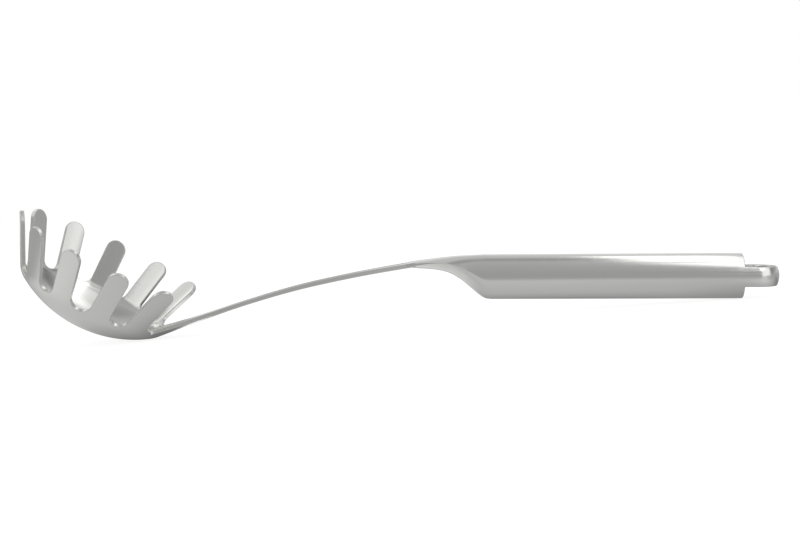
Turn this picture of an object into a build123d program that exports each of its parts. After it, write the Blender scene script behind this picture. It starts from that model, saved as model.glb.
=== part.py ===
from build123d import *
import os
from math import asin, atan2, cos, degrees, hypot, radians, sin, tan

# Pasta server in stainless steel, in millimetres.
# It is modelled along its handle: the handle's axis is X, the tongue ends at x = 0, and the head lies
# towards -X. At the end the whole is laid on the plane that it rests on.

# Overall
overall_length = 340.0  # from the front tines to the end of the tongue, along the handle
sheet = 2.0  # thickness of the pressed blank

# Bowl, an oval dish whose rim plane falls towards the handle
bowl_tilt = 27.3  # degrees between the rim plane and the handle
rim_half_length = 45.1  # outside of the oval through the centres of the tines' round tips
rim_half_width = 35.0
rim_depth = 32.8  # from that oval down to the lowest outer point
rim_height = 7.5  # centre of that oval above the handle's axis
rim_sag = 0.8  # how much lower the tines' tips are at the sides than at the front
floor_radius = 1.2816 * rim_half_length  # outside of the dished floor
corner_radius = 12.0  # outside of the bend from the floor to the tines
tine_lean = 25.0  # degrees that the tines lean outwards

# Tines, five mirror pairs, each at an angle of the oval from the front
tine_width = 9.4
tine_angles = (18.5, 50.2, 79.2, 109.0, 138.8)
notch_height = 16.5  # centre of a gap's round bottom above the lowest outer point
neck_notch_height = 18.2  # the same for the gaps beside the neck

# Neck and shank, the strip that arches from the bowl to the handle
neck_width = 19.5
neck_slope = 47.0  # degrees of the bowl's wall, seen in the bowl, where the neck leaves it
# Points that the middle of the strip's thickness passes: share of the way from bowl to handle, height
arch_points = ((0.3264, -12.3), (0.6211, -2.5), (0.8653, 3.4))
arch_end_slope = 9.0  # degrees of the strip where it meets the handle
# Each section of the strip: share of the arch, width, height of its sides above its middle
strip_sections = (
    (0.10, 16.0, 1.15),
    (0.22, 12.1, 0.5),
    (0.38, 9.6, 0.1),
    (0.60, 9.6, 0.0),
    (0.80, 9.6, -0.15),
    (1.00, 11.8, -0.3),
)
nose_step = 0.15  # from the handle's crown down to the strip's upper surface
tang_width = 8.0
tang_thickness = 1.0
tang_length = 22.0
tang_slope = 4.5  # degrees
tang_clearance = 0.05

# Handle, a hollow barrel with a tapering nose that is scooped underneath
barrel_radius = 10.0
wall = 0.8
barrel_front = 126.0  # from the end of the tongue to the front of the straight barrel
# Each section of the nose: distance from the straight barrel, crown height, height of the side
# crease, height of the keel, half width
nose_sections = (
    (2.5, 10.0, 0.0, -9.7, 10.0),
    (5.0, 9.9, 0.8, -8.3, 9.95),
    (9.5, 9.7, 3.0, -4.5, 9.7),
    (14.0, 9.5, 5.1, -0.8, 9.2),
    (20.0, 9.0, 6.6, 2.3, 8.3),
    (26.0, 8.3, 6.6, 3.5, 7.3),
    (34.0, 7.3, 5.9, 4.1, 6.0),
)
hollow_sections = 5  # how many of them, from the barrel, are hollow

# End plug with the hanging tongue
tongue_length = 16.0
tongue_thickness = 8.6
collar_length = 3.0
spigot_length = 12.0
spigot_clearance = 0.05
hole_diameter = 8.0
hole_setback = 8.0  # from the end of the tongue to the centre of the hole
collar_rounding = 0.8

# Directions of the tilted bowl: rim_back points to the handle within the rim plane, rim_up out of it
tilt = radians(bowl_tilt)
lean = radians(tine_lean)
rim_back = Vector(cos(tilt), 0, -sin(tilt))
rim_up = Vector(sin(tilt), 0, cos(tilt))
sideways = Vector(0, 1, 0)
oval = rim_half_width / rim_half_length
front_reach = rim_half_length * cos(radians(tine_angles[0])) * cos(tilt) + tine_width / 4
rim_centre = Vector(front_reach - overall_length, 0, rim_height)
bowl_plane = Plane(origin=rim_centre, x_dir=-rim_back, z_dir=sideways)
bowl_axis = Axis(rim_centre, rim_up)

# Where the floor's arc meets the bend, so that floor, bend and tine run into each other
wall_offset = rim_half_length * cos(lean) - rim_depth * sin(lean)
bend_start = asin((wall_offset - corner_radius + floor_radius * sin(lean)) / (floor_radius - corner_radius))
bend_start = degrees(bend_start) - tine_lean
bend_centre = Vector(
    (floor_radius - corner_radius) * sin(radians(bend_start)),
    floor_radius - rim_depth - (floor_radius - corner_radius) * cos(radians(bend_start)),
)


def dish_solid(inset, top):
    """The filled oval dish, inset from the outer surface, up to a height above the rim plane."""
    squash = (rim_half_width - inset / cos(lean)) / (rim_half_length - inset / cos(lean))
    with BuildPart() as dish:
        with BuildSketch(bowl_plane):
            with BuildLine():
                floor = JernArc(
                    start=(0, inset - rim_depth),
                    tangent=(1, 0),
                    radius=floor_radius - inset,
                    arc_size=bend_start,
                )
                bend = JernArc(
                    start=floor @ 1,
                    tangent=floor % 1,
                    radius=corner_radius - inset,
                    arc_size=90 - tine_lean - bend_start,
                )
                rise = (top - (bend @ 1).Y) / cos(lean)
                side = Line(bend @ 1, bend @ 1 + (bend % 1) * rise)
                Polyline(side @ 1, (0, top), (0, inset - rim_depth))
            make_face()
        revolve(axis=bowl_axis)
        scale(by=(1, squash, 1))
    return dish.part


def wall_plane(angle, height, across=0.0):
    """The plane that lies on the outside of the tines at an angle of the oval, its Y up the tine.

    The height is above the lowest outer point. across moves the origin towards smaller angles.
    """
    turn = radians(angle)
    radius = rim_half_length - (rim_depth - height) * tan(lean)
    place = rim_centre - rim_back * (radius * cos(turn))
    place += sideways * (radius * oval * sin(turn)) + rim_up * (height - rim_depth)
    outward = (sideways * (sin(turn) / oval) - rim_back * cos(turn)).normalized()
    up = rim_up * cos(lean) + outward * sin(lean)
    normal = outward * cos(lean) - rim_up * sin(lean)
    across_dir = up.cross(normal)
    return Plane(origin=place + across_dir * across, x_dir=across_dir, z_dir=normal)


# Head and shank: one blank, cut, dished and bent
cut_depth = 9.0  # each way through the dish's wall
tip_height = rim_depth + tine_width
dish_top = tine_width / 2 + 0.5
fan = [(-angle, tine_width) for angle in reversed(tine_angles)]
fan += [(angle, tine_width) for angle in tine_angles]
fan += [(180.0, neck_width)]
gaps = list(zip(fan, fan[1:])) + [(fan[-1], (fan[0][0] + 360, tine_width))]

neck_turn = radians(neck_slope)
neck_start = rim_centre + rim_back * (bend_centre.X + (corner_radius - sheet / 2) * sin(neck_turn))
neck_start += rim_up * (bend_centre.Y - (corner_radius - sheet / 2) * cos(neck_turn))
neck_direction = rim_back * cos(neck_turn) + rim_up * sin(neck_turn)
neck_plane = Plane(origin=neck_start, x_dir=sideways, z_dir=neck_direction)

nose_tip = barrel_front + nose_sections[-1][0]
nose_crown = nose_sections[-1][1]
shank_end = Vector(-nose_tip, 0, nose_crown - sheet / 2 - nose_step)
arch_end_turn = radians(arch_end_slope)
tang_turn = radians(tang_slope)
tang_direction = Vector(cos(tang_turn), 0, sin(tang_turn))
tang_plane = Plane(origin=shank_end - tang_direction * sheet, x_dir=sideways, z_dir=tang_direction)

# What the blanking die takes away between the tines and around their round tips
with BuildPart() as offcuts:
    for (before, before_width), (after, after_width) in gaps:
        bottom = neck_notch_height if neck_width in (before_width, after_width) else notch_height
        gap_plane = wall_plane((before + after) / 2, bottom)
        corners = [
            gap_plane.to_local_coords(wall_plane(angle, height, across).origin)
            for angle, height, across in (
                (before, tip_height, -before_width / 2),
                (before, bottom, -before_width / 2),
                (after, bottom, after_width / 2),
                (after, tip_height, after_width / 2),
            )
        ]
        upper_right, lower_right, lower_left, upper_left = [(point.X, point.Y) for point in corners]
        half_gap = hypot(lower_right[0] - lower_left[0], lower_right[1] - lower_left[1]) / 2
        lowest_point = (
            (lower_left[0] + lower_right[0]) / 2,
            (lower_left[1] + lower_right[1]) / 2 - half_gap,
        )
        with BuildSketch(gap_plane):
            with BuildLine():
                Line(upper_left, lower_left)
                ThreePointArc(lower_left, lowest_point, lower_right)
                Polyline(lower_right, upper_right, upper_left)
            make_face()
    for angle, width in fan[:-1]:
        with BuildSketch(wall_plane(angle, rim_depth - rim_sag * sin(radians(angle)) ** 2)):
            Rectangle(width + sheet, 2 * width, align=(Align.CENTER, Align.MIN))
            Circle(width / 2, mode=Mode.SUBTRACT)
    extrude(amount=cut_depth, both=True)
    # The wall behind the neck ends where the neck leaves it
    with BuildSketch(neck_plane):
        Rectangle(neck_width + sheet, 2 * rim_depth)
    extrude(amount=rim_depth)


arch = Spline(
    neck_start,
    *[(neck_start.X + share * (shank_end.X - neck_start.X), 0, z) for share, z in arch_points],
    shank_end,
    tangents=(neck_direction, Vector(cos(arch_end_turn), 0, sin(arch_end_turn))),
)


def strip_section(width, rise):
    """A section of the strip, a parabola whose sides are higher than its middle by the rise."""
    half = width / 2
    with BuildSketch() as section:
        with BuildLine():
            low = Bezier(
                (-half, rise - sheet / 2),
                (0, -rise - sheet / 2),
                (half, rise - sheet / 2),
            )
            high = Bezier(
                (half, rise + sheet / 2),
                (0, -rise + sheet / 2),
                (-half, rise + sheet / 2),
            )
            Line(low @ 1, high @ 0)
            Line(high @ 1, low @ 0)
        make_face()
    return section.sketch


with BuildPart() as head_and_shank:
    add(dish_solid(0, dish_top))
    add(dish_solid(sheet, dish_top + sheet), mode=Mode.SUBTRACT)
    add(offcuts.part, mode=Mode.SUBTRACT)
    # The shank, a strip that is dished at the neck, flat in the middle and crowned at the handle
    neck_face = faces().filter_by(GeomType.PLANE).sort_by_distance(neck_start)[0]
    strip_faces = []
    for share, width, rise in strip_sections:
        across_arch = arch % share if share < 1 else Vector(1, 0, 0)
        strip_plane = Plane(origin=arch @ share, x_dir=sideways, z_dir=across_arch)
        strip_faces.append((strip_plane * strip_section(width, rise)).face())
    loft(sections=[neck_face, *strip_faces])
    # The tang, rebated on all sides
    with BuildSketch(tang_plane):
        Rectangle(tang_width, tang_thickness)
    extrude(amount=tang_length + sheet)

head_and_shank.part.label = "head_and_shank"


def nose_section(crown, crease, keel, half_width):
    """A closed section of the nose, two arcs that meet at the sides."""
    with BuildSketch() as section:
        with BuildLine():
            ThreePointArc((-half_width, crease), (0, crown), (half_width, crease))
            ThreePointArc((half_width, crease), (0, keel), (-half_width, crease))
        make_face()
    return section.sketch


def section_plane(distance):
    """A plane across the handle, at a distance from the end of the tongue."""
    return Plane(origin=(-distance, 0, 0), x_dir=(0, 1, 0), z_dir=(1, 0, 0))


with BuildPart() as handle_hollow:
    with BuildSketch(section_plane(barrel_front)):
        add(nose_section(barrel_radius - wall, 0, wall - barrel_radius, barrel_radius - wall))
    for ahead, crown, crease, keel, half_width in nose_sections[:hollow_sections]:
        with BuildSketch(section_plane(barrel_front + ahead - wall)):
            add(nose_section(crown - wall, crease, keel + wall, half_width - 1.4 * wall))
    loft()
    with BuildSketch(section_plane(barrel_front)):
        Circle(barrel_radius - wall)
    extrude(amount=barrel_front - tongue_length - collar_length)
    # The slot for the tang
    with BuildSketch(tang_plane):
        Rectangle(tang_width + 2 * tang_clearance, tang_thickness + 2 * tang_clearance)
    extrude(amount=tang_length + 2 * sheet)

with BuildPart() as handle_body:
    with BuildSketch(section_plane(barrel_front)):
        add(nose_section(barrel_radius, 0, -barrel_radius, barrel_radius))
    for ahead, crown, crease, keel, half_width in nose_sections:
        with BuildSketch(section_plane(barrel_front + ahead)):
            add(nose_section(crown, crease, keel, half_width))
    loft()
    with BuildSketch(section_plane(barrel_front)):
        Circle(barrel_radius)
    extrude(amount=barrel_front - tongue_length - collar_length)
    add(handle_hollow.part, mode=Mode.SUBTRACT)

with BuildPart() as handle_left_shell:
    add(handle_body.part)
    split(bisect_by=Plane.XZ, keep=Keep.TOP)

handle_left_shell.part.label = "handle_left_shell"

with BuildPart() as handle_right_shell:
    add(handle_body.part)
    split(bisect_by=Plane.XZ, keep=Keep.BOTTOM)

handle_right_shell.part.label = "handle_right_shell"

with BuildPart() as end_plug:
    with BuildSketch(Plane.XZ) as plug_profile:
        with BuildLine():
            Polyline(
                (-tongue_length - collar_length, 0),
                (-tongue_length - collar_length, barrel_radius),
                (-barrel_radius, barrel_radius),
            )
            RadiusArc((-barrel_radius, barrel_radius), (0, 0), barrel_radius)
            Line((0, 0), (-tongue_length - collar_length, 0))
        make_face()
    revolve(axis=Axis.X)
    for side in (1, -1):
        with BuildSketch(Plane.XY.offset(side * tongue_thickness / 2)):
            Rectangle(tongue_length, 3 * barrel_radius, align=(Align.MAX, Align.CENTER))
        extrude(amount=side * barrel_radius, mode=Mode.SUBTRACT)
    with BuildSketch(section_plane(tongue_length + collar_length + spigot_length)):
        Circle(barrel_radius - wall - spigot_clearance)
    extrude(amount=spigot_length)
    with Locations((-hole_setback, 0, 0)):
        Hole(hole_diameter / 2)
    # The collar is rounded over where it steps down to the tongue
    step_edges = edges().filter_by(GeomType.CIRCLE).filter_by(
        lambda edge: abs(edge.center().X + tongue_length) < collar_rounding
        and edge.radius > barrel_radius - wall / 2
    )
    fillet(step_edges, radius=collar_rounding)

end_plug.part.label = "end_plug"

# The resting plane touches the floor of the bowl and the rounded rear edge of the barrel
floor_centre = rim_centre + rim_up * (floor_radius - rim_depth)
edge_centre = Vector(-tongue_length - collar_rounding, 0, collar_rounding - barrel_radius)
span = edge_centre - floor_centre
rest_turn = atan2(span.Z, span.X) + asin((floor_radius - collar_rounding) / span.length)
pieces = (head_and_shank, handle_left_shell, handle_right_shell, end_plug)
leaned = Location((0, 0, 0), (0, degrees(rest_turn), 0))
boxes = [piece.part.moved(leaned).bounding_box() for piece in pieces]
middle_x = (min(box.min.X for box in boxes) + max(box.max.X for box in boxes)) / 2
lowest = min(box.min.Z for box in boxes)

os.makedirs("parts", exist_ok=True)
for piece in pieces:
    piece.part.locate(Location((-middle_x, 0, -lowest)) * leaned)
    export_step(piece.part, f"parts/{piece.part.label}.step")
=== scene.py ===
"""The look of a pasta server in satin stainless steel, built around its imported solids.

Lengths are in millimetres along the handle, as a maker would measure the tool: the handle's axis is X,
its end is at x = 0 and the bowl lies towards -X. RESTING lays that frame on the surface that the server
rests on, in metres. Angles are in degrees.
"""

import logging
import math
from dataclasses import dataclass, field
from enum import Enum
from typing import Callable, Iterable, Optional, Sequence, Union

import bpy
from mathutils import Euler, Matrix, Vector

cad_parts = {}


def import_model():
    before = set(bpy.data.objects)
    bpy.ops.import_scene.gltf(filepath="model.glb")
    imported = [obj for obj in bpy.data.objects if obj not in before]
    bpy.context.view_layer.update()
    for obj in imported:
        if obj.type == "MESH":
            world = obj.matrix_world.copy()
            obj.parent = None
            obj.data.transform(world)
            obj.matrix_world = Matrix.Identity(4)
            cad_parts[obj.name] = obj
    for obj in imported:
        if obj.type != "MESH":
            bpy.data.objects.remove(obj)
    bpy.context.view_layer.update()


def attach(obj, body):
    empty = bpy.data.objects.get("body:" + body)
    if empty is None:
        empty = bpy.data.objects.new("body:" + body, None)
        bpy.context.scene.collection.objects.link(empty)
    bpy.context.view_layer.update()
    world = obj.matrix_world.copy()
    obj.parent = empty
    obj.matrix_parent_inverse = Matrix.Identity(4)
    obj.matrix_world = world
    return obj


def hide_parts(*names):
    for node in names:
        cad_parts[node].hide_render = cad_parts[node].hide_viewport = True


LOG = logging.getLogger("pasta_server")
MM = 0.001
# Where the end of the handle's axis rests, in metres, and how far the axis drops towards it, in degrees
HANDLE_END = (0.169528, 0.0, 0.008855)
HANDLE_DROP = 3.8395
RESTING = (
    Matrix.Translation(HANDLE_END)
    @ Matrix.Rotation(math.radians(HANDLE_DROP), 4, "Y")
    @ Matrix.Scale(MM, 4)
)
SIDEWAYS = Vector((0.0, 1.0, 0.0))
WHITE = (1.0, 1.0, 1.0, 1.0)
# The Mix node's two colour inputs and its colour output
MIX_FIRST, MIX_SECOND, MIXED = 6, 7, 2

Builder = Callable[[bpy.types.Material], bpy.types.Object]
Element = Union[bpy.types.MeshPolygon, bpy.types.MeshEdge]


class Ray(Enum):
    """The kinds of ray that a backdrop can answer differently."""

    CAMERA = "Is Camera Ray"
    GLOSSY = "Is Glossy Ray"


class Pick(Enum):
    """What is selected for an operator of edit mode."""

    EDGES = "EDGE"
    FACES = "FACE"


def last_short(short: Callable[[float], bool], low: float, high: float, halvings: int) -> float:
    """The last place that is short of a mark, found by halving the span that holds it.

    Args:
        short: whether a place is short of the mark.
        low: a place that is short of it.
        high: a place that isn't.
        halvings: how many times the span is halved.

    Returns:
        The place.
    """
    for _ in range(halvings):
        middle = (low + high) / 2
        low, high = (middle, high) if short(middle) else (low, middle)
    return low


@dataclass(frozen=True)
class SmoothTable:
    """A smooth curve through rows of numbers, each row starting with the place it is for."""

    rows: tuple[tuple[float, ...], ...]

    def at(self, place: float) -> list[float]:
        """The numbers at a place, on a curve through the rows that never swings past them.

        Args:
            place: where along the rows; past the ends the end row holds.

        Returns:
            The numbers of the row, without its place.
        """
        rows = self.rows
        if place <= rows[0][0]:
            return list(rows[0][1:])
        if place >= rows[-1][0]:
            return list(rows[-1][1:])
        k = max(i for i in range(len(rows) - 1) if rows[i][0] <= place)
        span = rows[k + 1][0] - rows[k][0]
        t = (place - rows[k][0]) / span
        values = []
        for column in range(1, len(rows[0])):
            start, end = rows[k][column], rows[k + 1][column]
            leave = self._slope(k, column) * span
            arrive = self._slope(k + 1, column) * span
            values.append(
                start * (2 * t**3 - 3 * t**2 + 1)
                + leave * (t**3 - 2 * t**2 + t)
                + end * (3 * t**2 - 2 * t**3)
                + arrive * (t**3 - t**2)
            )
        return values

    def _slope(self, k: int, column: int) -> float:
        """The curve's slope at a row: the harmonic mean of the rises beside it, and zero at a peak.

        Args:
            k: the row.
            column: the column.

        Returns:
            The slope.
        """
        rows = self.rows

        def rise(i: int) -> float:
            """How fast the numbers rise from a row to the next."""
            return (rows[i + 1][column] - rows[i][column]) / (rows[i + 1][0] - rows[i][0])

        if k == 0:
            return rise(0)
        if k == len(rows) - 1:
            return rise(k - 1)
        before, after = rise(k - 1), rise(k)
        return 0.0 if before * after <= 0 else 2 * before * after / (before + after)


class Bench:
    """The modelling moves that the sub-assemblies share."""

    SMOOTH_BELOW = 55.0
    BROAD_FACE_WEIGHT = 60
    # How near a vertex is to a place when it counts as being there, in millimetres
    NEAR = 0.01
    # The steps in and out of a rounded edge, as shares of its rounding: a quarter circle in thirds
    ROUNDING_STEPS = ((0.13, 0.5), (0.37, 0.37), (0.5, 0.13))

    @staticmethod
    def clear_selection() -> None:
        """Leaves nothing selected, so that the next operator touches only the new mesh."""
        if bpy.context.object and bpy.context.object.mode != "OBJECT":
            bpy.ops.object.mode_set(mode="OBJECT")
        bpy.ops.object.select_all(action="DESELECT")

    @classmethod
    def choose(cls, pieces: Sequence[bpy.types.Object]) -> None:
        """Selects pieces and nothing else.

        Args:
            pieces: the pieces, of which the first becomes the active one.
        """
        cls.clear_selection()
        for piece in pieces:
            piece.select_set(True)
        bpy.context.view_layer.objects.active = pieces[0]

    @classmethod
    def pick(cls, piece: bpy.types.Object, kind: Pick, wanted: Callable[[Element], bool]) -> None:
        """Goes into edit mode with only some faces or edges of a piece selected.

        Args:
            piece: the piece.
            kind: whether faces or edges are picked.
            wanted: whether one of them is wanted.
        """
        cls.choose([piece])
        bpy.ops.object.mode_set(mode="EDIT")
        bpy.ops.mesh.select_mode(type=kind.value)
        bpy.ops.mesh.select_all(action="DESELECT")
        bpy.ops.object.mode_set(mode="OBJECT")
        for element in piece.data.polygons if kind is Pick.FACES else piece.data.edges:
            element.select = wanted(element)
        bpy.ops.object.mode_set(mode="EDIT")

    @classmethod
    def grid(cls, name: str, across: int, along: int) -> bpy.types.Object:
        """A flat blank, its vertices in rows that run across.

        Args:
            name: the blank's name.
            across: how many faces a row has.
            along: how many rows of faces there are.

        Returns:
            The blank.
        """
        cls.clear_selection()
        bpy.ops.mesh.primitive_grid_add(x_subdivisions=across, y_subdivisions=along, size=1)
        blank = bpy.context.object
        blank.name = name
        return blank

    @staticmethod
    def press(blank: bpy.types.Object, places: Iterable[Vector]) -> None:
        """Presses a blank to shape.

        Args:
            blank: the mesh to shape.
            places: each vertex's new place, in the handle's millimetres.
        """
        for vertex, place in zip(blank.data.vertices, places, strict=True):
            vertex.co = place
        blank.data.update()

    @classmethod
    def weld(cls, pieces: Sequence[bpy.types.Object], gap: float = 0.004) -> bpy.types.Object:
        """Joins pieces into the first of them, merges what meets, and turns the faces outwards.

        Args:
            pieces: the pieces.
            gap: the widest gap that is merged, in millimetres.

        Returns:
            The joined piece.
        """
        cls.choose(pieces)
        if len(pieces) > 1:
            bpy.ops.object.join()
        bpy.ops.object.mode_set(mode="EDIT")
        bpy.ops.mesh.select_all(action="SELECT")
        bpy.ops.mesh.remove_doubles(threshold=gap)
        bpy.ops.mesh.normals_make_consistent(inside=False)
        bpy.ops.object.mode_set(mode="OBJECT")
        return bpy.context.object

    @classmethod
    def modify(cls, piece: bpy.types.Object, kind: str, **settings: object) -> None:
        """Adds a modifier to a piece and applies it.

        Args:
            piece: the piece.
            kind: the modifier's type.
            settings: its settings.
        """
        cls.choose([piece])
        modifier = piece.modifiers.new(kind.lower(), kind)
        for key, value in settings.items():
            setattr(modifier, key, value)
        bpy.ops.object.modifier_apply(modifier=modifier.name)

    @classmethod
    def lay_down(cls, piece: bpy.types.Object, name: str) -> bpy.types.Object:
        """Names a finished piece and moves its mesh from the handle's frame to where it rests.

        Args:
            piece: the piece.
            name: its name.

        Returns:
            The same piece.
        """
        piece.data.transform(RESTING)
        piece.name = name
        piece.data.name = name
        return piece

    @classmethod
    def finish(cls, piece: bpy.types.Object, by_strength: bool = False) -> None:
        """Smooth shading that keeps broad faces true beside their narrow rounded edges.

        Args:
            piece: the piece.
            by_strength: whether its broad faces were marked strong, and alone turn the shading.
        """
        cls.choose([piece])
        bpy.ops.object.shade_smooth_by_angle(angle=math.radians(cls.SMOOTH_BELOW))
        cls.modify(
            piece,
            "WEIGHTED_NORMAL",
            weight=cls.BROAD_FACE_WEIGHT,
            keep_sharp=True,
            use_face_influence=by_strength,
        )

    @classmethod
    def round_sheet_edge(cls, sheet: bpy.types.Object, first_edge_face: int, rounding: float) -> None:
        """Grows the edge of a thick sheet outwards into a rounded edge, and marks the broad faces strong.

        Args:
            sheet: the sheet, its edge faces last in its mesh.
            first_edge_face: the index of the first of them.
            rounding: how far the edge grows.
        """
        cls.pick(sheet, Pick.FACES, lambda face: face.index >= first_edge_face)
        for inwards, outwards in cls.ROUNDING_STEPS:
            bpy.ops.mesh.inset(
                thickness=inwards * rounding, depth=outwards * rounding, use_even_offset=True
            )
        bpy.ops.mesh.mod_weighted_strength(set=True, face_strength="STRONG")
        cls.pick(sheet, Pick.FACES, lambda face: face.index < first_edge_face)
        bpy.ops.mesh.mod_weighted_strength(set=True, face_strength="STRONG")
        bpy.ops.object.mode_set(mode="OBJECT")


class Socket:
    """A shader value that adds its Math nodes when it is used in an expression."""

    def __init__(self, shader: "Shader", socket: bpy.types.NodeSocket) -> None:
        """Wraps one output socket of a shader's tree."""
        self.shader = shader
        self.socket = socket

    def _math(self, operation: str, first: object, second: object) -> "Socket":
        """One Math node on two values or sockets."""
        return self.shader.node("ShaderNodeMath", {"operation": operation}, {0: first, 1: second})

    def __add__(self, other: object) -> "Socket":
        """Sum."""
        return self._math("ADD", self, other)

    def __sub__(self, other: object) -> "Socket":
        """Difference."""
        return self._math("SUBTRACT", self, other)

    def __rsub__(self, other: object) -> "Socket":
        """Difference from a plain number."""
        return self._math("SUBTRACT", other, self)

    def __mul__(self, other: object) -> "Socket":
        """Product."""
        return self._math("MULTIPLY", self, other)

    def maximum(self, other: object) -> "Socket":
        """The larger of the two."""
        return self._math("MAXIMUM", self, other)

    def minimum(self, other: object) -> "Socket":
        """The smaller of the two."""
        return self._math("MINIMUM", self, other)

    __radd__ = __add__
    __rmul__ = __mul__


class Shader:
    """A node tree, written as expressions on sockets."""

    def __init__(self, tree: bpy.types.NodeTree) -> None:
        """Starts from an empty tree."""
        self.tree = tree
        tree.nodes.clear()

    def node(
        self,
        kind: str,
        settings: Optional[dict[str, object]] = None,
        values: Optional[dict[object, object]] = None,
        output: object = 0,
    ) -> Socket:
        """Adds a node.

        Args:
            kind: the node's type.
            settings: its settings, set first.
            values: a value or a link for each of its input sockets.
            output: which of its output sockets is wanted.

        Returns:
            The wanted output.
        """
        made = self.tree.nodes.new(kind)
        for key, value in (settings or {}).items():
            setattr(made, key, value)
        for key, value in (values or {}).items():
            if isinstance(value, Socket):
                self.tree.links.new(value.socket, made.inputs[key])
            else:
                made.inputs[key].default_value = value
        return Socket(self, made.outputs[output] if made.outputs else None)

    def ray(self, kind: Ray) -> Socket:
        """1 for rays of this kind, otherwise 0."""
        return self.node("ShaderNodeLightPath", output=kind.value)


@dataclass(frozen=True)
class SatinSteel:
    """Stainless steel with a soft satin finish and fine lines along the tool."""

    name: str = "satin_steel"
    colour: tuple[float, float, float] = (0.70, 0.70, 0.68)
    roughness: float = 0.16
    roughness_spread: float = 0.03
    colour_spread: float = 0.015
    # How finely the lines and the clouds repeat in a metre along X, Y and Z. Heights are in metres
    line_scale: tuple[float, float, float] = (180.0, 4800.0, 4800.0)
    line_depth: float = 0.18
    line_height: float = 0.00008
    cloud_scale: tuple[float, float, float] = (40.0, 60.0, 60.0)
    noise_detail: float = 2.0

    def material(self) -> bpy.types.Material:
        """Builds the material.

        Returns:
            The material, its pattern on Object coordinates.
        """
        made = bpy.data.materials.new(self.name)
        made.use_nodes = True
        shader = Shader(made.node_tree)
        place = shader.node("ShaderNodeTexCoord", output="Object")
        lines = self._noise(shader, place, self.line_scale)
        cloud = self._noise(shader, place, self.cloud_scale)
        rough = self.roughness + (cloud + lines - 1.0) * self.roughness_spread
        tint = shader.node(
            "ShaderNodeMix",
            {"data_type": "RGBA"},
            {
                "Factor": cloud * 0.5 + lines * 0.5,
                MIX_FIRST: (*(c * (1 - self.colour_spread) for c in self.colour), 1.0),
                MIX_SECOND: (*(c * (1 + self.colour_spread) for c in self.colour), 1.0),
            },
            output=MIXED,
        )
        bump = shader.node(
            "ShaderNodeBump",
            values={"Strength": self.line_depth, "Distance": self.line_height, "Height": lines},
        )
        surface = shader.node(
            "ShaderNodeBsdfPrincipled",
            values={"Base Color": tint, "Metallic": 1.0, "Roughness": rough, "Normal": bump},
        )
        shader.node("ShaderNodeOutputMaterial", values={"Surface": surface})
        return made

    def _noise(self, shader: Shader, place: Socket, scale: tuple[float, float, float]) -> Socket:
        """Noise that is stretched along the tool.

        Args:
            shader: the material's node tree.
            place: the place that the noise is read at.
            scale: how finely it repeats along each axis.

        Returns:
            The noise, from 0 to 1.
        """
        stretched = shader.node("ShaderNodeMapping", values={"Vector": place, "Scale": scale})
        values = {"Vector": stretched, "Scale": 1.0, "Detail": self.noise_detail}
        return shader.node("ShaderNodeTexNoise", values=values)


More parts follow.
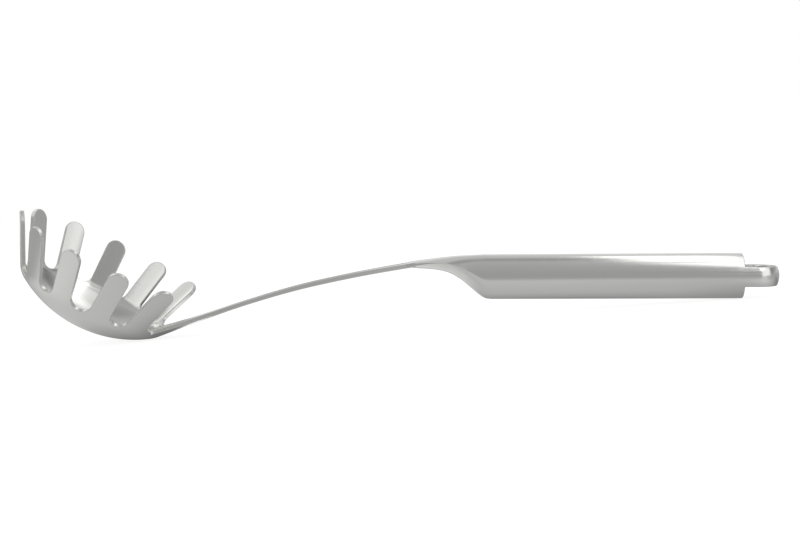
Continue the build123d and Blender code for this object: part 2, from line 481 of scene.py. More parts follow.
@dataclass
class Head:
    """The bowl with its tines, the neck and the arched shank, pressed from one sheet."""

    sheet: float = 2.0
    tilt: float = 27.3
    # The middle of the oval rim, its half sizes, how deep the bowl is under it, and its sag at the sides
    rim_centre: Vector = field(default_factory=lambda: Vector((-299.644, 0.0, 7.5)))
    rim_half_length: float = 45.1
    rim_half_width: float = 35.0
    rim_depth: float = 32.8
    rim_sag: float = 0.8
    # The wall's outer profile: the floor's arc, the bend from there, and the lean of the wall above it
    floor_radius: float = 57.8
    corner_radius: float = 12.0
    bend_start: float = 34.444
    lean: float = 25.0
    # The tines, at angles round the oval from the front, and the heights of the gaps' centres
    tine_width: float = 9.4
    tine_angles: tuple[float, ...] = (18.5, 50.2, 79.2, 109.0, 138.8)
    notch_height: float = 16.5
    neck_notch_height: float = 18.2
    neck_width: float = 19.5
    neck_slope: float = 47.0
    base_height: float = 8.5
    edge_rounding: float = 0.35
    edge_finish: SatinSteel = SatinSteel(name="satin_steel_edge", roughness=0.34)
    tip_clearance: float = 0.002
    neck_fillet: float = 4.45
    neck_fillet_begun: float = 1.5
    arch_length: float = 123.0
    # Share of the arch, and the place of its middle along X and Z
    arch: SmoothTable = SmoothTable(
        (
            (0.00, -278.77, -26.09),
            (0.05, -272.97, -23.99),
            (0.10, -267.18, -21.88),
            (0.15, -261.38, -19.77),
            (0.22, -253.26, -16.84),
            (0.30, -243.94, -13.61),
            (0.38, -234.55, -10.56),
            (0.50, -220.35, -6.39),
            (0.60, -208.41, -3.31),
            (0.80, -184.29, 1.85),
            (1.00, -160.00, 6.15),
        )
    )
    # Share of the arch, the strip's width, and the height of its sides above its middle
    strip: SmoothTable = SmoothTable(
        (
            (0.00, 19.5, 2.13),
            (0.10, 16.0, 1.15),
            (0.22, 12.1, 0.50),
            (0.38, 9.6, 0.10),
            (0.60, 9.6, 0.00),
            (0.80, 9.6, -0.15),
            (1.00, 11.8, -0.30),
        )
    )
    # Columns and rows of faces, and how strongly the strip's rows crowd towards the neck
    tine_columns: int = 14
    gap_columns: int = 16
    neck_columns: int = 18
    wall_rows: int = 14
    floor_rows: int = 26
    tine_rows: int = 18
    strip_rows: int = 90
    strip_crowding: float = 1.6
    # How far along the arch its direction is taken from, as a share of it
    arch_step: float = 0.01
    # The limits within which a run, an angle and the neck's root are searched, and their halvings
    longest_run: float = 120.0
    widest_turn: float = 60.0
    neck_search: tuple[float, float] = (-2.0, 12.0)
    run_halvings: int = 50
    turn_halvings: int = 40
    neck_halvings: int = 24

    def __post_init__(self) -> None:
        """Works out the directions of the tilted bowl and the profile of the sheet's middle."""
        tilt, lean, slope = (math.radians(angle) for angle in (self.tilt, self.lean, self.neck_slope))
        self.back = Vector((math.cos(tilt), 0.0, -math.sin(tilt)))
        self.up = Vector((math.sin(tilt), 0.0, math.cos(tilt)))
        trim = self.sheet / 2 / math.cos(lean)
        self.oval = (self.rim_half_width - trim) / (self.rim_half_length - trim)
        self.floor = self.floor_radius - self.sheet / 2
        self.corner = self.corner_radius - self.sheet / 2
        start = math.radians(self.bend_start)
        reach = self.floor_radius - self.corner_radius
        self.bend_centre = (reach * math.sin(start), self.floor_radius - reach * math.cos(start))
        self.floor_run = self.floor * start
        self.bend_run = self.corner * (math.radians(90 - self.lean) - start)
        self.tine_half = self.tine_width / 2 - self.edge_rounding
        self.neck_half = self.neck_width / 2 - self.edge_rounding
        self.middle_rise = self.sheet / 2 * math.sin(lean)
        self.neck_run = self.floor_run + self.corner * (slope - start)
        self.neck_direction = self.back * math.cos(slope) + self.up * math.sin(slope)

    def profile(self, run: float) -> tuple[float, float]:
        """A point of the profile at a distance along it from the middle of the floor.

        Args:
            run: the distance along the sheet's middle.

        Returns:
            The distance from the bowl's axis, and the height above its lowest outer point.
        """
        if run <= self.floor_run:
            turn = run / self.floor
            return self.floor * math.sin(turn), self.floor_radius - self.floor * math.cos(turn)
        if run <= self.floor_run + self.bend_run:
            turn = math.radians(self.bend_start) + (run - self.floor_run) / self.corner
            return (
                self.bend_centre[0] + self.corner * math.sin(turn),
                self.bend_centre[1] - self.corner * math.cos(turn),
            )
        radius, height = self.profile(self.floor_run + self.bend_run)
        rest = run - self.floor_run - self.bend_run
        lean = math.radians(self.lean)
        return radius + rest * math.sin(lean), height + rest * math.cos(lean)

    def run_at_height(self, height: float) -> float:
        """The distance along the profile at which it reaches a height.

        Args:
            height: the height above the lowest outer point.

        Returns:
            The distance.
        """

        def below(run: float) -> bool:
            """Whether the profile is still below the height."""
            return self.profile(run)[1] < height

        return last_short(below, 0.0, self.longest_run, self.run_halvings)

    def wall(self, angle: float, run: float) -> Vector:
        """A point of the dished surface.

        Args:
            angle: its angle round the oval, in degrees from the front.
            run: its distance along the profile.

        Returns:
            The point.
        """
        radius, height = self.profile(run)
        turn = math.radians(angle)
        place = self.rim_centre - self.back * (radius * math.cos(turn))
        place += SIDEWAYS * (radius * self.oval * math.sin(turn))
        return place + self.up * (height - self.rim_depth)

    def offset_angle(self, angle: float, offset: float, run: float) -> float:
        """The angle at which the surface lies a given distance to the side of another angle.

        Args:
            angle: the angle that the distance is measured from.
            offset: the distance along the tangent there, positive towards larger angles.
            run: the distance along the profile.

        Returns:
            The angle in degrees.
        """
        turn = math.radians(angle)
        tangent = (self.back * math.sin(turn) + SIDEWAYS * (self.oval * math.cos(turn))).normalized()
        origin = self.wall(angle, run)

        def nearer(turned: float) -> bool:
            """Whether an angle lies less far to the side than the offset."""
            return (self.wall(turned, run) - origin).dot(tangent) < offset

        limits = (angle - self.widest_turn, angle + self.widest_turn)
        return last_short(nearer, *limits, self.turn_halvings)

    def strip_point(self, share: float, offset: float) -> Vector:
        """A point of the neck and shank.

        Args:
            share: its share of the way along the arch.
            offset: how far to the side it is, as a share of half the width.

        Returns:
            The point.
        """
        x, z = self.arch.at(share)
        ahead = self.arch.at(min(1.0, share + self.arch_step))
        behind = self.arch.at(max(0.0, share - self.arch_step))
        along = Vector((ahead[0] - behind[0], 0.0, ahead[1] - behind[1])).normalized()
        normal = Vector((-along.z, 0.0, along.x))
        width, rise = self.strip.at(share)
        half = width / 2 - self.edge_rounding + self.flare(share)
        return Vector((x, 0.0, z)) + SIDEWAYS * (offset * half) + normal * (rise * offset**2)

    def flare(self, share: float) -> float:
        """How much wider the neck is on each side, where a fillet rounds it into the wall."""
        short = max(0.0, self.neck_fillet - self.neck_fillet_begun - share * self.arch_length)
        return self.neck_fillet - math.sqrt(self.neck_fillet**2 - short**2)

    def neck_edge(self, offset: float) -> tuple[float, float]:
        """Where the neck leaves the wall.

        Args:
            offset: how far from the middle of the neck.

        Returns:
            The angle and the run there.
        """
        origin = self.wall(180.0, self.neck_run)

        def before(run: float) -> bool:
            """Whether the wall is still short of the neck's line."""
            place = self.wall(self.offset_angle(180.0, offset, run), run)
            return (place - origin).dot(self.neck_direction) < 0

        low, high = (self.neck_run + reach for reach in self.neck_search)
        run = last_short(before, low, high, self.neck_halvings)
        return self.offset_angle(180.0, offset, run), run

    def build(self, steel: bpy.types.Material) -> bpy.types.Object:
        """Makes the head and shank.

        Args:
            steel: the finish.

        Returns:
            The finished piece.
        """
        tops, stems = self._wall_tops()
        pieces = [self._bowl(tops)]
        for angle, first, last in stems:
            stem = tops[first : last + 1]
            pieces.append(self._strip(stem) if angle == 180.0 else self._tine(angle, stem))
        head = Bench.weld(pieces)
        sheet_faces = len(head.data.polygons)
        Bench.modify(head, "SOLIDIFY", thickness=self.sheet, offset=0.0, use_even_offset=True)
        Bench.round_sheet_edge(head, 2 * sheet_faces, self.edge_rounding)
        Bench.finish(head, by_strength=True)
        head.data.materials.append(steel)
        head.data.materials.append(self.edge_finish.material())
        # The sheet's broad faces come first in the mesh, and those of its rounded edge after them
        for face in head.data.polygons:
            face.material_index = int(face.index >= 2 * sheet_faces)
        return Bench.lay_down(head, "pressed_head_and_shank")

    def _wall_tops(self) -> tuple[list[tuple[float, float]], list[tuple[float, int, int]]]:
        """The columns of the bowl's wall.

        Returns:
            Each column's angle and its run at its top, and each tine's or the neck's angle with its
            first and last column.
        """
        heights = (self.notch_height, self.neck_notch_height)
        level, neck_level = (self.run_at_height(height + self.middle_rise) for height in heights)
        neck_half = self.neck_half + self.flare(0.0)
        angles = [-angle for angle in reversed(self.tine_angles)] + list(self.tine_angles) + [180.0]
        tops: list[tuple[float, float]] = []
        stems: list[tuple[float, int, int]] = []
        for k, angle in enumerate(angles):
            first = len(tops)
            if angle == 180.0:
                for j in range(self.neck_columns + 1):
                    tops.append(self.neck_edge(neck_half * (2 * j / self.neck_columns - 1)))
            else:
                for j in range(self.tine_columns + 1):
                    offset = -math.cos(math.pi * j / self.tine_columns)
                    beside_neck = abs(angle) == self.tine_angles[-1]
                    share = (0.5 + 0.5 * math.copysign(offset, offset * angle)) if beside_neck else 0.0
                    run = level + (neck_level - level) * share
                    tops.append((self.offset_angle(angle, offset * self.tine_half, run), run))
            stems.append((angle, first, len(tops) - 1))
            following = angles[(k + 1) % len(angles)] + (360 if k + 1 == len(angles) else 0)
            if angle == 180.0:
                tops += self._neck_gap(following, neck_level, tops[-1])
            elif following == 180.0:
                start = self.neck_edge(-neck_half)
                mirrored = self._neck_gap(360 - angle, neck_level, (360 - start[0], start[1]))
                tops += [(360 - side, run) for side, run in reversed(mirrored)]
            else:
                tops += self._gap(angle, following, level)
        return tops, stems

    def _gap(self, before: float, after: float, level: float) -> list[tuple[float, float]]:
        """The columns of the gap between two tines, whose tops follow its half-round bottom.

        Args:
            before: the angle of the tine before it.
            after: the angle of the tine after it.
            level: the run at the height of the centre of the half-round.

        Returns:
            Each column's angle and its run at its top.
        """
        start = self.offset_angle(before, self.tine_half, level)
        end = self.offset_angle(after, -self.tine_half, level)
        depth = (self.wall(end, level) - self.wall(start, level)).length / 2
        columns = []
        for j in range(1, self.gap_columns):
            turn = math.pi * j / self.gap_columns
            angle = start + (end - start) * (0.5 - 0.5 * math.cos(turn))
            columns.append((angle, level - depth * math.sin(turn)))
        return columns

    def _neck_gap(
        self, after: float, level: float, corner: tuple[float, float]
    ) -> list[tuple[float, float]]:
        """The columns of the gap from the neck to the tine after it, which runs out along the neck.

        Args:
            after: the tine's angle.
            level: the run at the height of the centre of the gap's round bottom.
            corner: the angle and run of the neck's last column.

        Returns:
            Each column's angle and its run at its top.
        """
        start = self.offset_angle(180.0, self.neck_half, level)
        end = self.offset_angle(after, -self.tine_half, level)
        depth = (self.wall(end, level) - self.wall(start, level)).length / 2
        skipped = math.acos(1 - 2 * (corner[0] - start) / (end - start))
        lift = corner[1] - (level - depth * math.sin(skipped))
        columns = []
        for j in range(1, self.gap_columns):
            turn = skipped + (math.pi - skipped) * j / self.gap_columns
            angle = start + (end - start) * (0.5 - 0.5 * math.cos(turn))
            near_neck = max(0.0, math.cos(turn)) / math.cos(skipped)
            columns.append((angle, level - depth * math.sin(turn) + lift * near_neck**2))
        return columns

    def _bowl(self, tops: list[tuple[float, float]]) -> bpy.types.Object:
        """The dished floor and the wall.

        Args:
            tops: the angle of each column of the wall, and the run at its top.

        Returns:
            The bowl, as a thin surface.
        """
        base_run = self.run_at_height(self.base_height)
        bowl = Bench.grid("bowl", len(tops), self.floor_rows + self.wall_rows)
        places = []
        for row in range(self.floor_rows + self.wall_rows + 1):
            for angle, top in tops + [(tops[0][0] + 360, tops[0][1])]:
                if row <= self.floor_rows:
                    run = base_run * row / self.floor_rows
                else:
                    run = base_run + (top - base_run) * (row - self.floor_rows) / self.wall_rows
                places.append(self.wall(angle, run))
        Bench.press(bowl, places)
        return bowl

    def _tine(self, angle: float, tops: list[tuple[float, float]]) -> bpy.types.Object:
        """One tine, from the level of its notches up to its round tip.

        Args:
            angle: the tine's angle.
            tops: the angle and run of each of its columns where it leaves the wall.

        Returns:
            The tine, as a thin surface.
        """
        tip_height = self.rim_depth - self.rim_sag * math.sin(math.radians(angle)) ** 2
        tip_run = self.run_at_height(tip_height + self.middle_rise) - self.tip_clearance
        count = len(tops) - 1
        blank = Bench.grid("tine", count, self.tine_rows)
        places = [self.wall(*top) for top in tops]
        for row in range(1, self.tine_rows + 1):
            for j, (_, top_run) in enumerate(tops):
                turn = math.pi * j / count
                end = tip_run + self.tine_half * math.sin(turn)
                run = top_run + (end - top_run) * row / self.tine_rows
                side = self.offset_angle(angle, -self.tine_half * math.cos(turn), run)
                places.append(self.wall(side, run))
        Bench.press(blank, places)
        return blank

    def _strip(self, tops: list[tuple[float, float]]) -> bpy.types.Object:
        """The neck and shank, from the bowl's wall to the handle.

        Args:
            tops: the angle and run of each of its columns where it leaves the wall.

        Returns:
            The strip, as a thin surface whose rows crowd towards the neck.
        """
        count = len(tops) - 1
        blank = Bench.grid("strip", count, self.strip_rows)
        places = [self.wall(*top) for top in tops]
        for row in range(1, self.strip_rows + 1):
            share = (row / self.strip_rows) ** self.strip_crowding
            for j in range(count + 1):
                places.append(self.strip_point(share, 1 - 2 * j / count))
        Bench.press(blank, places)
        return blank


@dataclass
class Handle:
    """The hollow round handle with its tapering nose, polished into one smooth body."""

    barrel_front: float = -126.0
    barrel_rear: float = -19.0
    # Distance ahead of the barrel, then the crown, crease and keel's heights, half the width, and the
    # height of the flat side
    nose: SmoothTable = SmoothTable(
        (
            (0.0, 10.0, 0.0, -10.0, 10.0, 0.0),
            (2.5, 10.0, 0.0, -9.7, 10.0, 0.0),
            (5.0, 9.9, 0.8, -8.3, 9.95, 0.0),
            (9.5, 9.7, 3.0, -4.5, 9.7, 0.0),
            (14.0, 9.5, 5.1, -0.8, 9.2, 0.0),
            (20.0, 9.0, 6.6, 2.3, 8.3, 0.0),
            (26.0, 8.3, 6.6, 3.5, 7.3, 0.35),
            (34.0, 7.3, 5.9, 4.1, 6.0, 1.0),
            (37.5, 6.65, 5.55, 4.5, 5.92, 1.3),
        )
    )
    arc_points: int = 48
    nose_stations: int = 60
    barrel_stations: int = 40
    crease_rounding: float = 0.25
    crease_segments: int = 2
    crease_angle: float = 24.0

    def section(self, x: float) -> list[Vector]:
        """The points round the handle's skin at a station.

        Args:
            x: the station.

        Returns:
            The points of the crown's arc, then of the keel's arc back.
        """
        crown, crease, keel, half, side = self.nose.at(max(0.0, self.barrel_front - x))
        points = []
        for end, edge in ((crown, crease + side / 2), (keel, crease - side / 2)):
            rise = end - edge
            radius = (half**2 + rise**2) / (2 * rise)
            reach = math.atan2(half, abs(radius - rise)) if abs(rise) <= half else math.pi / 2
            outwards = math.copysign(1.0, rise)
            for k in range(self.arc_points):
                swing = outwards * (1 - 2 * k / (self.arc_points - 1)) * reach
                height = end - radius * (1 - math.cos(swing))
                points.append(Vector((x, abs(radius) * math.sin(swing), height)))
        return points

    def build(self, steel: bpy.types.Material) -> bpy.types.Object:
        """Makes the handle.

        Args:
            steel: the finish.

        Returns:
            The finished piece.
        """
        front = self.barrel_front
        length = self.nose.rows[-1][0]
        stations = [front - length * (1 - k / self.nose_stations) for k in range(self.nose_stations)]
        span = self.barrel_rear - front
        stations += [front + span * k / self.barrel_stations for k in range(self.barrel_stations + 1)]
        skin = Bench.grid("handle", 2 * self.arc_points, len(stations) - 1)
        places = []
        for x in stations:
            round_trip = self.section(x)
            places += round_trip + round_trip[:1]
        Bench.press(skin, places)
        skin = Bench.weld([skin])
        self._close(skin, stations[0])
        Bench.modify(
            skin,
            "BEVEL",
            width=self.crease_rounding,
            segments=self.crease_segments,
            limit_method="ANGLE",
            angle_limit=math.radians(self.crease_angle),
            use_clamp_overlap=True,
        )
        self._close(skin, self.barrel_rear)
        Bench.finish(skin)
        skin.data.materials.append(steel)
        return Bench.lay_down(skin, "round_handle")

    @staticmethod
    def _close(skin: bpy.types.Object, x: float) -> None:
        """Closes the skin with a flat face where it is open.

        Args:
            skin: the handle's skin.
            x: the station of its open end.
        """

        def at_station(edge: Element) -> bool:
            """Whether an edge lies at the station."""
            return all(abs(skin.data.vertices[v].co.x - x) < Bench.NEAR for v in edge.vertices)

        Bench.pick(skin, Pick.EDGES, at_station)
        bpy.ops.mesh.edge_face_add()
        bpy.ops.mesh.select_all(action="SELECT")
        bpy.ops.mesh.normals_make_consistent(inside=False)
        bpy.ops.object.mode_set(mode="OBJECT")


@dataclass
class HangingEnd:
    """The plug in the handle's end: a flush collar, and a flat tongue with the hanging hole."""

    barrel_radius: float = 10.0
    collar_front: float = -19.0
    collar_rear: float = -16.0
    collar_rounding: float = 0.4
    collar_taper: float = 0.03
    tongue_thickness: float = 8.6
    tongue_rounding: float = 0.4
    hole_radius: float = 4.0
    hole_centre: float = -8.0
    collar_vertices: int = 96
    collar_segments: int = 6
    weld_gap: float = 0.0005
    # How far the tongue's root lies inside the collar
    root_depth: float = 0.85
    # The parts of the tongue's outline, as shares of the way round: its round end, a side, its root
    end_share: float = 0.5
    side_share: float = 0.15
    root_share: float = 0.2
    tongue_columns: int = 120
    side_steps: int = 8
    # Degrees round the tongue's rounded edges, and shares of the way from its outline to its hole
    bead_turns: tuple[int, ...] = (18, 36, 54, 72)
    flat_shares: tuple[float, ...] = (0.0, 0.2, 0.45, 0.7, 0.9)

    def build(self, steel: bpy.types.Material) -> bpy.types.Object:
        """Makes the hanging end.

        Args:
            steel: the finish.

        Returns:
            The finished piece.
        """
        end = Bench.weld([self._collar(), self._tongue()], gap=self.weld_gap)
        Bench.finish(end)
        end.data.materials.append(steel)
        return Bench.lay_down(end, "hanging_end")

    def _collar(self) -> bpy.types.Object:
        """The collar.

        Returns:
            A short turned disc whose rear edge is rounded over.
        """
        Bench.clear_selection()
        depth = self.collar_rear - self.collar_front
        bpy.ops.mesh.primitive_cone_add(
            vertices=self.collar_vertices,
            radius1=self.barrel_radius,
            radius2=self.barrel_radius - self.collar_taper,
            depth=depth,
            location=((self.collar_rear + self.collar_front) / 2, 0.0, 0.0),
            rotation=(0.0, math.pi / 2, 0.0),
        )
        collar = bpy.context.object
        bpy.ops.object.transform_apply(location=True, rotation=True, scale=True)

        def at_rear(edge: Element) -> bool:
            """Whether an edge lies on the collar's rear face."""
            ends = [collar.data.vertices[v].co.x for v in edge.vertices]
            return min(ends) > self.collar_rear - Bench.NEAR

        Bench.pick(collar, Pick.EDGES, at_rear)
        bpy.ops.mesh.bevel(offset=self.collar_rounding, segments=self.collar_segments, affect="EDGES")
        bpy.ops.object.mode_set(mode="OBJECT")
        return collar

    def _outline(self, share: float, radius: float) -> Vector:
        """A point of the tongue's outline, seen from above.

        Args:
            share: its share of the way round, from where the round end begins.
            radius: the radius of the round end, which is half the tongue's width.

        Returns:
            The point.
        """
        root = self.collar_rear - self.root_depth
        centre = -self.barrel_radius
        side_stop = self.end_share + self.side_share
        root_stop = side_stop + self.root_share
        if share < self.end_share:
            turn = math.pi * (share / self.end_share) - math.pi / 2
            return Vector((centre + radius * math.cos(turn), radius * math.sin(turn), 0.0))
        if share < side_stop:
            back = (root - centre) * (share - self.end_share) / self.side_share
            return Vector((centre + back, radius, 0.0))
        if share < root_stop:
            return Vector((root, radius * (1 - 2 * (share - side_stop) / self.root_share), 0.0))
        return Vector((root + (centre - root) * (share - root_stop) / self.side_share, -radius, 0.0))

    def _loop(self) -> list[tuple[float, float, float]]:
        """The tongue's section, from its outline over its flat to the hole, and back below.

        Returns:
            For each point its height, its inset from the round side, and its share of the way from
            the outline to the hole.
        """
        half = self.tongue_thickness / 2
        bead = self.tongue_rounding
        steps = self.side_steps
        side = [(-half + bead + (2 * half - 2 * bead) * k / steps, 0.0, 0.0) for k in range(steps + 1)]
        turns = [math.radians(a) for a in self.bead_turns]
        outer = [(half - bead + bead * math.sin(a), bead - bead * math.cos(a), 0.0) for a in turns]
        flat = [(half, bead, share) for share in self.flat_shares]
        inner = [(half - bead + bead * math.cos(a), bead * (1 - math.sin(a)), 1.0) for a in turns]
        bore = [(half - bead, 0.0, 1.0)]
        upper = outer + flat + [(half, bead, 1.0)] + inner + bore
        lower = [(-height, inset, share) for height, inset, share in reversed(upper)]
        return side + upper + lower

    def _tongue(self) -> bpy.types.Object:
        """The tongue.

        Returns:
            A ring of the handle's own round section, flattened above and below.
        """
        loop = self._loop()
        Bench.clear_selection()
        bpy.ops.mesh.primitive_torus_add(major_segments=self.tongue_columns, minor_segments=len(loop))
        tongue = bpy.context.object
        places = []
        rim_radius = math.sqrt(self.barrel_radius**2 - (self.tongue_thickness / 2) ** 2)
        for i in range(self.tongue_columns):
            share = i / self.tongue_columns
            rim = self._outline(share, rim_radius)
            away = Vector((rim.x - self.hole_centre, rim.y, 0.0)).normalized()
            for height, inset, towards_hole in loop:
                radius = math.sqrt(self.barrel_radius**2 - height**2) - inset
                outer = self._outline(share, radius)
                reach = self.hole_radius + (inset if towards_hole == 1.0 else self.tongue_rounding)
                hole = Vector((self.hole_centre, 0.0, 0.0)) + away * reach
                place = outer.lerp(hole, towards_hole)
                places.append(Vector((place.x, place.y, height)))
        Bench.press(tongue, places)
        bpy.ops.object.mode_set(mode="EDIT")
        bpy.ops.mesh.select_all(action="SELECT")
        bpy.ops.mesh.normals_make_consistent(inside=False)
        bpy.ops.object.mode_set(mode="OBJECT")
        return tongue


@dataclass(frozen=True)
class Softbox:
    """A large plain studio light, whose strength is how bright it looks whatever its size."""

    name: str
    place: tuple[float, float, float]
    turn: tuple[float, float, float]
    size: tuple[float, float]
    strength: float

    def build(self) -> None:
        """Hangs the light, turned about X, Y and Z in degrees from facing straight down."""
        lamp = bpy.data.lights.new(self.name, "AREA")
        lamp.shape = "RECTANGLE"
        lamp.size, lamp.size_y = self.size
        lamp.energy = self.strength * self.size[0] * self.size[1] * math.pi
        holder = bpy.data.objects.new(self.name, lamp)
        bpy.context.scene.collection.objects.link(holder)
        holder.location = self.place
        holder.rotation_euler = Euler([math.radians(a) for a in self.turn], "XYZ")
        holder.visible_camera = False


@dataclass(frozen=True)
class Glow:
    """A soft pool of lighter or darker grey in what the steel reflects: painted light or painted shade on
    the floor, brighter or dimmer light from the room.
    """

    centre: tuple[float, float, float]
    reach: tuple[float, float, float]
    gain: float

    def add(self, shader: Shader, place: Socket) -> Socket:
        """Adds the pool's nodes.

        Args:
            shader: the node tree of the floor or the room.
            place: a point of the floor, or a direction in the room.

        Returns:
            The pool's grey, full at its centre and fading out at its reach along each axis.
        """
        moved = shader.node(
            "ShaderNodeVectorMath", {"operation": "SUBTRACT"}, {0: place, 1: self.centre}
        )
        spread = shader.node("ShaderNodeVectorMath", {"operation": "DIVIDE"}, {0: moved, 1: self.reach})
        pool = shader.node(
            "ShaderNodeTexGradient", {"gradient_type": "SPHERICAL"}, {"Vector": spread}, output="Fac"
        )
        return pool * pool * (3.0 - 2.0 * pool) * self.gain


@dataclass
class Studio:
    """The plain white setting: floor, surround, lights and camera."""

    # The camera's place in metres and its turn, and the lens and the sensor in millimetres
    camera_place: tuple[float, float, float] = (0.057358, -0.603535, 0.067171)
    camera_turn: tuple[float, float, float] = (85.98542, 4.47764, 4.80383)
    lens: float = 60.8646
    sensor_width: float = 36.0
    nearest_seen: float = 0.01
    softboxes: tuple[Softbox, ...] = (
        Softbox("overhead_rear", (0.2235, 0.1430, 0.5), (0.0, 0.0, 5.0), (0.118, 0.475), 1.25),
        Softbox("overhead_front", (0.394, -0.274, 0.5), (0.0, 0.0, 19.0), (0.30, 0.38), 1.25),
        Softbox("overhead_far_front", (0.5525, -0.706, 0.5), (0.0, 0.0, 6.0), (0.35, 0.45), 1.25),
        Softbox("upper_left", (-0.53, 0.065, 0.5), (0.0, 0.0, 8.4), (0.40, 1.20), 0.46),
        Softbox("low_right", (0.3755, -0.238, 0.08), (90.0, 0.0, 61.7), (0.28, 0.30), 0.75),
    )
    floor_size: float = 8.0
    # What the floor scatters, and the white that the camera sees mixed into it, so that a shadow shows
    floor_matte: tuple[float, float, float, float] = (0.8, 0.8, 0.8, 1.0)
    floor_white: float = 1.28
    floor_white_share: float = 0.7
    # The floor as the steel sees it: a glowing grey with painted pools of light and painted shadows,
    # placed in metres
    floor_grey: float = 0.47
    floor_glows: tuple[Glow, ...] = (
        Glow((-0.24, -0.06, 0.0), (0.20, 0.18, 1.0), 0.38),  # painted light left of the bowl
        Glow((0.06, -0.045, 0.0), (0.25, 0.09, 1.0), 0.20),  # painted light along the near side
        Glow((0.005, 0.015, 0.0), (0.04, 0.04, 1.0), 0.42),  # painted light under the tip of the nose
        Glow((0.12, 0.008, 0.0), (0.17, 0.020, 1.0), -0.28),  # painted shadow under the handle
        Glow((0.158, -0.004, 0.0), (0.04, 0.020, 1.0), -0.10),  # painted shadow under the handle's end
        Glow((-0.117, 0.002, 0.0), (0.043, 0.030, 1.0), -0.42),  # painted shadow under the bowl
        Glow((0.29, -0.20, 0.0), (0.08, 0.10, 1.0), 0.45),  # painted light right of the handle, near
        Glow((0.20, -0.07, 0.0), (0.035, 0.05, 1.0), 0.42),  # painted light right of the hanging end
        Glow((0.174, -0.028, 0.0), (0.024, 0.030, 1.0), 0.24),  # painted light beside the hanging end
        Glow((0.33, -0.75, 0.0), (0.12, 0.45, 1.0), 0.18),  # painted light right of the camera
        Glow((-0.094, 0.0125, 0.0), (0.020, 0.011, 1.0), 1.05),  # painted light under the neck
        Glow((-0.045, 0.020, 0.0), (0.030, 0.020, 1.0), 0.50),  # painted light under the shank, far
        Glow((-0.105, 0.037, 0.0), (0.030, 0.020, 1.0), -0.45),  # painted shade beyond the neck
        Glow((-0.20, -0.50, 0.0), (0.12, 0.30, 1.0), -0.22),  # painted shade left of the camera
        Glow((-0.40, -0.04, 0.0), (0.13, 0.12, 1.0), 0.18),  # painted light well left of the bowl
    )
    # The room as the steel sees it, brighter at the far side, its pools given by direction
    room_grey: float = 0.54
    room_front: float = 0.10
    room_behind: float = 0.42
    room_glows: tuple[Glow, ...] = (
        Glow((0.12, 0.22, 0.96), (0.35, 0.35, 0.35), -0.18),  # overhead
        Glow((0.43, 0.38, 0.81), (0.26, 0.26, 0.26), 0.90),  # high, far right
        Glow((-0.08, 0.78, 0.60), (0.30, 0.40, 0.30), -0.14),  # half high, far
        Glow((0.0, 1.0, 0.05), (0.70, 0.70, 0.17), -0.75),  # low, all along the far side
        Glow((0.97, -0.05, 0.25), (0.40, 0.40, 0.35), -0.25),  # low, right
        Glow((-0.68, 0.36, 0.64), (0.22, 0.22, 0.22), 0.65),  # half high, far left
        Glow((-0.43, 0.52, 0.74), (0.24, 0.24, 0.24), 0.65),  # high, far left
        Glow((0.84, 0.40, 0.36), (0.27, 0.27, 0.33), -0.45),  # low, far right
        Glow((0.70, 0.46, 0.555), (0.20, 0.20, 0.20), -0.25),  # half high, far right
        Glow((0.60, 0.64, 0.49), (0.29, 0.29, 0.29), -0.48),  # half high, far right, wider
        Glow((0.49, 0.02, 0.87), (0.26, 0.42, 0.26), 0.56),  # high, right
        Glow((0.48, -0.50, 0.72), (0.25, 0.36, 0.25), 0.46),  # high, near right
        Glow((-0.25, -0.72, 0.65), (0.15, 0.15, 0.15), 0.30),  # half high, near
        Glow((-0.42, -0.54, 0.73), (0.18, 0.18, 0.18), 0.30),  # high, near left
        Glow((0.385, -0.77, 0.52), (0.14, 0.14, 0.14), 0.60),  # half high, near right
        Glow((0.26, -0.94, 0.22), (0.10, 0.10, 0.10), 0.40),  # low, near
        Glow((-0.62, 0.17, 0.766), (0.10, 0.10, 0.10), -0.25),  # high, left
        Glow((-0.67, 0.02, 0.74), (0.22, 0.22, 0.22), -0.14),  # high, left, wider
        Glow((0.35, -0.87, 0.36), (0.30, 0.30, 0.30), -0.08),  # low, near right
        Glow((0.92, -0.40, 0.04), (0.25, 0.25, 0.25), -0.34),  # level, near right
    )

    def build(self) -> None:
        """Sets up the whole studio."""
        self._camera()
        self._floor()
        self._surround()
        for softbox in self.softboxes:
            softbox.build()
        bpy.context.scene.view_settings.view_transform = "Standard"

    def _camera(self) -> None:
        """The camera at the photograph's viewing angle."""
        lens = bpy.data.cameras.new("camera")
        lens.lens = self.lens
        lens.sensor_width = self.sensor_width
        lens.clip_start = self.nearest_seen
        camera = bpy.data.objects.new("camera", lens)
        bpy.context.scene.collection.objects.link(camera)
        camera.location = self.camera_place
        camera.rotation_euler = Euler([math.radians(a) for a in self.camera_turn], "XYZ")
        bpy.context.scene.camera = camera

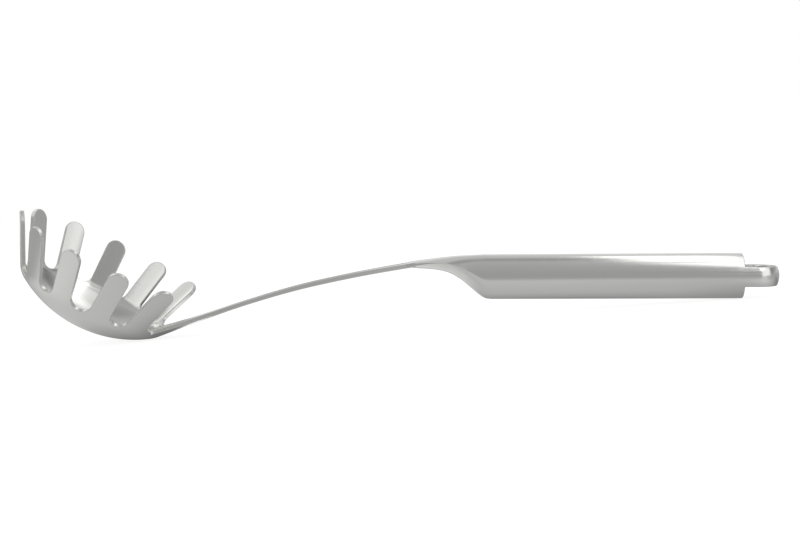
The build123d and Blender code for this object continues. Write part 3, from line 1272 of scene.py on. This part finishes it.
    def _floor(self) -> None:
        """A plain pale floor that keeps a soft shadow, and that the steel sees as glowing greys with
        painted light and painted shadows.
        """
        Bench.clear_selection()
        bpy.ops.mesh.primitive_plane_add(size=self.floor_size)
        floor = bpy.context.object
        floor.name = "floor"
        material = bpy.data.materials.new("pale_floor")
        material.use_nodes = True
        shader = Shader(material.node_tree)
        place = shader.node("ShaderNodeTexCoord", output="Object")
        # The greys that the steel sees: painted light and painted shadows on the floor, which glows with
        # them
        level = self.floor_grey + sum(glow.add(shader, place) for glow in self.floor_glows)
        matte = shader.node("ShaderNodeBsdfDiffuse", values={"Color": self.floor_matte})
        white = shader.node("ShaderNodeEmission", values={"Color": WHITE, "Strength": self.floor_white})
        greys = shader.node("ShaderNodeEmission", values={"Color": level, "Strength": 1.0})
        share = shader.ray(Ray.CAMERA) * self.floor_white_share
        seen = shader.node("ShaderNodeMixShader", values={0: share, 1: matte, 2: white})
        surface = shader.node("ShaderNodeMixShader", values={0: shader.ray(Ray.GLOSSY), 1: seen, 2: greys})
        shader.node("ShaderNodeOutputMaterial", values={"Surface": surface})
        floor.data.materials.append(material)

    def _surround(self) -> None:
        """The room: white to the camera, and soft greys for the steel to reflect."""
        world = bpy.data.worlds.new("surround")
        world.use_nodes = True
        bpy.context.scene.world = world
        shader = Shader(world.node_tree)
        direction = shader.node("ShaderNodeTexCoord", output="Generated")
        away = shader.node("ShaderNodeSeparateXYZ", values={0: direction}, output=1)
        behind = away.maximum(0.0)
        level = self.room_grey + away.minimum(0.0) * self.room_front + behind * behind * self.room_behind
        level = level + sum(glow.add(shader, direction) for glow in self.room_glows)
        room = shader.node("ShaderNodeBackground", values={"Color": level, "Strength": 1.0})
        white = shader.node("ShaderNodeBackground", values={"Color": WHITE, "Strength": 1.0})
        surface = shader.node("ShaderNodeMixShader", values={0: shader.ray(Ray.CAMERA), 1: room, 2: white})
        shader.node("ShaderNodeOutputWorld", values={"Surface": surface})


def main() -> None:
    """Builds the studio and every piece in order, and reports them."""
    logging.basicConfig(level=logging.INFO, format="%(message)s")
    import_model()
    Studio().build()
    steel = SatinSteel().material()
    dressed: tuple[tuple[Builder, tuple[str, ...]], ...] = (
        (Head().build, ("head_and_shank",)),
        (Handle().build, ("handle_left_shell", "handle_right_shell")),
        (HangingEnd().build, ("end_plug",)),
    )
    for build, nodes in dressed:
        piece = build(steel)
        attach(piece, "root")
        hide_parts(*nodes)
        LOG.info("%s: %d faces", piece.name, len(piece.data.polygons))


if __name__ == "__main__":
    main()
